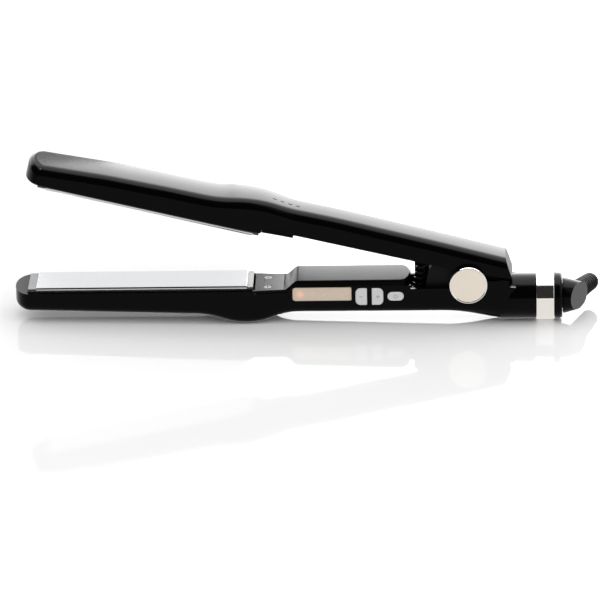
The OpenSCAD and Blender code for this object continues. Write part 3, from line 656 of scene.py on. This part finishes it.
CAP_R = 9.9
CAP_H = 3.8
FACE_R = 9.35
RIM_SOFT = 0.5
for side, name in ((1, "front"), (-1, "rear")):
    turn = Matrix.Rotation(math.radians(90 * side), 4, "X")
    rim_profile = ([(FACE_R - 0.35, GRIP_HALF + 0.35), (CAP_R - 0.2, GRIP_HALF + 0.35),
                    (CAP_R, GRIP_HALF + 0.55), (CAP_R, GRIP_HALF + CAP_H - RIM_SOFT)]
                   + [(CAP_R - RIM_SOFT + RIM_SOFT * math.cos(math.radians(a)),
                       GRIP_HALF + CAP_H - RIM_SOFT + RIM_SOFT * math.sin(math.radians(a)))
                      for a in range(15, 91, 15)]
                   + [(FACE_R, GRIP_HALF + CAP_H - 0.12), (FACE_R - 0.35, GRIP_HALF + CAP_H - 0.3)])
    rim = lathe(f"cap_rim_{name}", rim_profile)
    finish_piece(rim, LOWER @ turn, "lower_arm", "champagne", look=LOOKS["band_metal"])
    face_profile = [(ON_AXIS, GRIP_HALF + CAP_H - 1.2), (FACE_R - 0.1, GRIP_HALF + CAP_H - 1.2),
                    (FACE_R - 0.1, GRIP_HALF + CAP_H - 0.45), (FACE_R - 0.35, GRIP_HALF + CAP_H - 0.22),
                    (FACE_R - 1.0, GRIP_HALF + CAP_H - 0.12), (5, GRIP_HALF + CAP_H - 0.05),
                    (ON_AXIS, GRIP_HALF + CAP_H - 0.01)]
    face = lathe(f"cap_face_{name}", face_profile)
    finish_piece(face, LOWER @ turn, "lower_arm", "champagne", [f"{name}_hinge_cap"])

# ---- Springs ----


def swung(x, z):
    """A point of the open upper arm, in the lower arm's frame."""
    c, s = math.cos(OPEN), math.sin(OPEN)
    return Vector((x * c + z * s, 0, z * c - x * s))


COIL_R = 2.6
foot = Vector((-26.7, 0, -6.85))
head = swung(-25, GRIP_RIM_Z + 0.2) - Vector((0.2, 0, 0.7))
spring = coil("spring_arm", foot, head, COIL_R, 0.5, 7)
finish_piece(spring, LOWER, "lower_arm", "spring_black", ["arm_spring"], sharp=60)
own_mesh(spring)

FLOAT_SPRING_XS = (-207, -170, -133)
SEAT_Z = 11
CARRIER_Z = 8
FLOAT_WIRE_R = 0.35
for arm, place, sign, arm_body in (("lower", LOWER, -1, "lower_arm"), ("upper", UPPER, 1, "upper_arm")):
    for i, x in enumerate(FLOAT_SPRING_XS):
        low = Vector((x, 0, sign * (SEAT_Z - 0.4)))
        high = Vector((x, 0, sign * (CARRIER_Z + 0.4)))
        float_spring = coil(f"spring_{arm}_{i + 1}", low, high, COIL_R, FLOAT_WIRE_R, 3, steps=24, sides=8)
        old = [f"{arm}_float_springs"] if i == 0 else []
        finish_piece(float_spring, place, arm_body, "steel", old, sharp=60)
        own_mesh(float_spring)

# ---- Tail ----

tail = LOWER @ ALONG_TAIL


def soft_ring(r_in, r_out, x0, x1, soft, steps=5):
    """A ring's profile with both outer edges rounded."""
    first = [(r_out - soft + soft * math.sin(math.radians(a)), x0 + soft - soft * math.cos(math.radians(a)))
             for a in range(0, 91, 90 // steps)]
    last = [(r_out - soft + soft * math.cos(math.radians(a)), x1 - soft + soft * math.sin(math.radians(a)))
            for a in range(0, 91, 90 // steps)]
    return [(r_in, x0)] + first + last + [(r_in, x1)]


band = lathe("band_tail", soft_ring(10.55, 12.4, 35.4, 44.7, 0.35), 160)
finish_piece(band, tail, "lower_arm", "band_metal", ["tail_band"], sharp=40)
# the start of a soft ring, up to its near edge, then a wide round edge on the far side
collar_profile = (soft_ring(6.95, 12.2, 44.9, 48.9, 0.6)[:6]
                  + [(12.2, 47.3), (12.1, 47.8), (11.85, 48.3), (11.4, 48.7), (10.8, 48.9), (9.9, 48.9),
                     (9.7, 48.5), (6.95, 48.5)])
collar = lathe("collar_swivel", collar_profile, 160)
finish_piece(collar, tail, "lower_arm", "gloss_black", ["swivel_collar"], sharp=40)

# ---- Swivel cone: turned round the tail, with a slanted end that carries the boot ----

BOOT_DIR = Vector((0.363, 0.927, -0.09)).normalized()
BOOT_START = Vector((54.6, 3.5, TAIL_Z - 0.3))
along_boot = Matrix.Translation(BOOT_START) @ BOOT_DIR.to_track_quat("Z", "Y").to_matrix().to_4x4()
cone_profile = [(ON_AXIS, 42.4), (6.9, 42.4), (6.9, 42.9), (5.9, 42.9), (5.9, 44.1), (6.9, 44.1), (6.9, 49.2),
                (8.6, 49.2), (8.95, 49.25), (9.2, 49.4), (9.3, 49.7), (9.28, 50.1), (8.9, 51.9), (8.45, 53.7),
                (7.95, 55.5), (7.4, 57.4), (7.1, 58.6), (6.9, 63), (ON_AXIS, 63)]
cone = lathe("cone_swivel", cone_profile, 128)
cone.data.transform(ALONG_TAIL)
FACE_THICK = 0.06           # depth of the lighter grey layer on the cone's slanted end, a painted reflection of the bright studio
SLANT_X = 58.4
SLANT = math.radians(-30)
BORE_R = 3.6                # the way through for the cord
BOOT_SEAT_R = 5.7
BOOT_SEAT_Z = 3.4
NECK_TOP_R = 5.5


def end_cut(depth):
    """Everything past the cone's slanted end, moved in by a depth."""
    slant = box(-depth, 2 * FAR, -FAR, FAR, -FAR, FAR)
    slant.data.transform(Matrix.Translation((SLANT_X, 0, 0)) @ Matrix.Rotation(SLANT, 4, "Z"))
    return slant


neck = lathe("cutter", soft_ring(ON_AXIS, NECK_TOP_R, -2, BOOT_SEAT_Z, 0.5), 96)
neck.data.transform(along_boot)
bore = round_cutter(BORE_R, -1, 9, 48, along_boot)
seat = round_cutter(BOOT_SEAT_R, BOOT_SEAT_Z, 18, 96, along_boot)
feed = round_cutter(BORE_R, 30, 54, 48, ALONG_TAIL)
boolean(cone, [neck], "UNION")
# a thin layer on the cone's slanted end carries painted reflection: a lighter grey in place of the bright
# studio that the black end reflects
painted_reflection_layer = cone.copy()
painted_reflection_layer.data = cone.data.copy()
painted_reflection_layer.name = "cone_end_painted_reflection"
bpy.context.scene.collection.objects.link(painted_reflection_layer)
boolean(cone, [end_cut(FACE_THICK), bore, feed, seat])
boolean(painted_reflection_layer, [end_cut(0)])
boolean(painted_reflection_layer, [end_cut(FACE_THICK)], "INTERSECT")
finish_piece(cone, LOWER, "cord_swivel", "gloss_black", ["swivel_cone"])
finish_piece(painted_reflection_layer, LOWER, "cord_swivel", "gloss_black", look=LOOKS["painted_reflection_grey"])

# ---- Cord boot: a ribbed, tapering sleeve ----

BOOT_LEN = 24
BOOT_R = 5.5
BOOT_TAPER = 0.9
RIBS = 7
CORD_R = 3.3
pitch = (BOOT_LEN - 4) / RIBS


def boot_r(z):
    return BOOT_R - BOOT_TAPER * z / BOOT_LEN


# each rib: (share of the pitch, change of radius)
RIB_SHAPE = ((0, -0.3), (0.06, -0.1), (0.15, 0), (0.35, 0), (0.45, -0.08), (0.52, -0.3), (0.56, -0.88),
             (0.97, -0.88))
boot_profile = [(CORD_R, 0), (5.3, 0), (5.5, 0.15), (5.6, 0.4), (5.6, 2.2), (5.45, 2.5), (4.6, 2.65),
                (4.6, 2.9)]
for i in range(RIBS):
    z = 3 + i * pitch
    r = boot_r(z)
    boot_profile += [(r + dr, z + pitch * dz) for dz, dr in RIB_SHAPE]
boot_profile += [(4.65, BOOT_LEN - 1), (4.5, BOOT_LEN - 0.4), (4.2, BOOT_LEN - 0.03),
                 (CORD_R, BOOT_LEN - 0.03)]
boot = lathe("boot_cord", boot_profile, 96)
boot_place = LOWER @ along_boot @ Matrix.Translation((0, 0, BOOT_SEAT_Z))
finish_piece(boot, boot_place, "cord_swivel", "rubber_black", ["cord_boot"], sharp=40)

# ---- Floor and light ----

FLOOR_HALF = 30.0
FLOOR_Z = -0.0001
TABLE_TONE_Z = -0.004


def plain_shader(name, colour, strength):
    mat = bpy.data.materials.new(name)
    mat.use_nodes = True
    shader = mat.node_tree.nodes["Principled BSDF"]
    shader.inputs["Base Color"].default_value = (0, 0, 0, 1)
    shader.inputs["Specular IOR Level"].default_value = 0.0
    shader.inputs["Emission Color"].default_value = (*colour, 1)
    shader.inputs["Emission Strength"].default_value = strength
    return mat


def card(name, corners, mat):
    """A flat card of the studio, no part of the object."""
    mesh = bpy.data.meshes.new(name)
    mesh.from_pydata(corners, [], [[0, 1, 2, 3]])
    obj = bpy.data.objects.new(name, mesh)
    bpy.context.scene.collection.objects.link(obj)
    mesh.materials.append(mat)
    return obj


def level_corners(z):
    h = FLOOR_HALF
    return [(-h, -h, z), (h, -h, z), (h, h, z), (-h, h, z)]


def front_corners(x0, x1, y, z0, z1):
    return [(x0, y, z0), (x1, y, z0), (x1, y, z1), (x0, y, z1)]


def seen_in_reflections_only(obj):
    obj.visible_camera = False
    obj.visible_diffuse = False
    obj.visible_shadow = False
    obj.visible_transmission = False


floor_look = bpy.data.materials.new("floor_white")
floor_look.use_nodes = True
floor_shader = floor_look.node_tree.nodes["Principled BSDF"]
floor_shader.inputs["Base Color"].default_value = (0.87, 0.87, 0.87, 1)
floor_shader.inputs["Roughness"].default_value = 0.06
floor_shader.inputs["IOR"].default_value = 1.25
floor = card("floor", level_corners(FLOOR_Z), floor_look)
floor.visible_glossy = False

# the table's tone from below, and the dark side of the studio in front and at the left
SIDE_X = -0.8
below = card("table_tone", level_corners(TABLE_TONE_Z), plain_shader("table_tone", (1, 0.985, 0.965), 0.92))
flag = card("dark_flag", front_corners(-0.7, 0.7, -0.8, 0.06, 1.9),
            plain_shader("dark_flag", (1, 1, 1), 0.03))
side_flag = card("side_flag", [(SIDE_X, -0.9, 0.0), (SIDE_X, 0.5, 0.0), (SIDE_X, 0.5, 1.5),
                               (SIDE_X, -0.9, 1.5)], plain_shader("side_flag", (1, 1, 1), 0.03))
for obj in (below, flag, side_flag):
    seen_in_reflections_only(obj)

world = bpy.data.worlds.new("studio")
bpy.context.scene.world = world
world.use_nodes = True
world.node_tree.nodes["Background"].inputs["Color"].default_value = (1, 1, 1, 1)
world.node_tree.nodes["Background"].inputs["Strength"].default_value = 1.2


def softbox(name, place, aim, size_x, size_y, radiance):
    """A rectangular lamp of the given radiance, hidden from the camera."""
    light = bpy.data.lights.new(name, "AREA")
    light.shape = "RECTANGLE"
    light.size, light.size_y = size_x, size_y
    light.energy = radiance * math.pi * size_x * size_y
    obj = bpy.data.objects.new(name, light)
    bpy.context.scene.collection.objects.link(obj)
    obj.location = place
    obj.rotation_euler = (Vector(aim) - Vector(place)).to_track_quat("-Z", "Y").to_euler()
    obj.visible_camera = False
    return obj


OVERHEAD_Z = 1.35
BACK_Y = 1.2
BACK_RIGHT_X = 0.666
overhead = card("overhead", [(-0.9, -0.35, OVERHEAD_Z), (1.4, -0.35, OVERHEAD_Z), (1.4, BACK_Y, OVERHEAD_Z),
                             (-0.9, BACK_Y, OVERHEAD_Z)], plain_shader("overhead", (1, 1, 1), 7.0))
back_left = card("back_left", front_corners(-1.4, -0.226, BACK_Y, 0, 1.3),
                 plain_shader("back_left", (1, 1, 1), 3.5))
for obj in (overhead, back_left):
    seen_in_reflections_only(obj)
back_right = softbox("back_right", (BACK_RIGHT_X, BACK_Y, 0.65), (BACK_RIGHT_X, 0, 0.65), 1.4, 1.3, 6.2)
back_right.visible_diffuse = False      # it shows in reflections, and the world lights the floor evenly

# ---- Camera ----

target = Vector((0.027, 0, 0.0087))
DISTANCE = 3.1
AZIMUTH = math.radians(1.3)
ELEVATION = math.radians(20)
VIEW_WIDTH = 0.3144
SENSOR = 36
back = Vector((math.sin(AZIMUTH) * math.cos(ELEVATION), -math.cos(AZIMUTH) * math.cos(ELEVATION),
               math.sin(ELEVATION)))
camera_data = bpy.data.cameras.new("camera")
camera_data.sensor_width = SENSOR
camera_data.lens = SENSOR * DISTANCE / VIEW_WIDTH
camera_data.clip_start, camera_data.clip_end = 0.1, 100
camera = bpy.data.objects.new("camera", camera_data)
bpy.context.scene.collection.objects.link(camera)
camera.location = target + back * DISTANCE
camera.rotation_euler = (-back).to_track_quat("-Z", "Y").to_euler()
bpy.context.scene.camera = camera
bpy.context.scene.view_settings.view_transform = "Standard"

bpy.context.view_layer.update()
